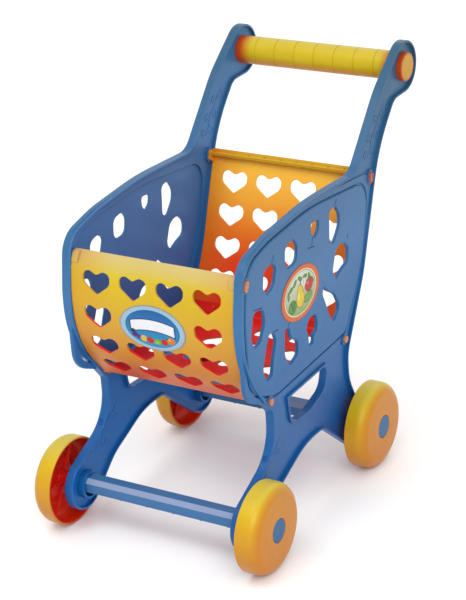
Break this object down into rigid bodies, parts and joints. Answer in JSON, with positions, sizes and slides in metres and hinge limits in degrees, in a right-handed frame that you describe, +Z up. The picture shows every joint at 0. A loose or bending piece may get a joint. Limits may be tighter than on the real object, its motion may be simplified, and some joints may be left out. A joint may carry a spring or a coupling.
{
  "type": "toy shopping trolley",
  "caption": "Child's push-along shopping trolley: moulded side frames, curved heart-pierced basket, tube handle across two arms, crossbars, free-turning cup wheels.",
  "frame": {"origin": "on the floor, under the middle of the whole trolley", "axes": "+Z up, +Y towards the handle (the back), +X to the right of someone who faces the nose"},
  "size_m": [0.259, 0.4327, 0.419],
  "materials": {
    "frame_blue": "moulded, satin gloss",
    "bar_blue": "moulded, satin gloss",
    "basket_yellow": "moulded, satin gloss",
    "handle_yellow": "moulded, satin gloss",
    "plug_orange": "moulded, satin gloss",
    "wheel_yellow": "moulded, satin gloss",
    "cap_blue": "moulded, satin gloss",
    "rod_steel": "drawn steel",
    "front_label": "printed vinyl sticker",
    "side_label": "printed vinyl sticker"
  },
  "bodies": {
    "frame": {"side_frame_right": "frame_blue", "side_frame_left": "frame_blue", "basket_tray": "basket_yellow", "rear_panel": "basket_yellow", "handle_tube": "handle_yellow", "handle_plug_right": "plug_orange", "handle_plug_left": "plug_orange", "front_crossbar": "bar_blue", "rear_crossbar": "bar_blue", "front_axle": "rod_steel", "rear_axle": "rod_steel", "front_label": "front_label", "side_label_right": "side_label", "side_label_left": "side_label", "hub_cap_front_right": "cap_blue", "hub_cap_front_left": "cap_blue", "hub_cap_rear_right": "cap_blue", "hub_cap_rear_left": "cap_blue"},
    "wheel_front_right": {"wheel_front_right": "wheel_yellow"},
    "wheel_front_left": {"wheel_front_left": "wheel_yellow"},
    "wheel_rear_right": {"wheel_rear_right": "wheel_yellow"},
    "wheel_rear_left": {"wheel_rear_left": "wheel_yellow"}
  },
  "joints": [
    {"name": "wheel_front_right_spin", "type": "hinge", "parent": "frame", "child": "wheel_front_right", "pos_m": [0.11755, -0.17065, 0.0457], "axis": [1, 0, 0], "continuous": true},
    {"name": "wheel_front_left_spin", "type": "hinge", "parent": "frame", "child": "wheel_front_left", "pos_m": [-0.11755, -0.17065, 0.0457], "axis": [1, 0, 0], "continuous": true},
    {"name": "wheel_rear_right_spin", "type": "hinge", "parent": "frame", "child": "wheel_rear_right", "pos_m": [0.11755, 0.05475, 0.0457], "axis": [1, 0, 0], "continuous": true},
    {"name": "wheel_rear_left_spin", "type": "hinge", "parent": "frame", "child": "wheel_rear_left", "pos_m": [-0.11755, 0.05475, 0.0457], "axis": [1, 0, 0], "continuous": true}
  ]
}
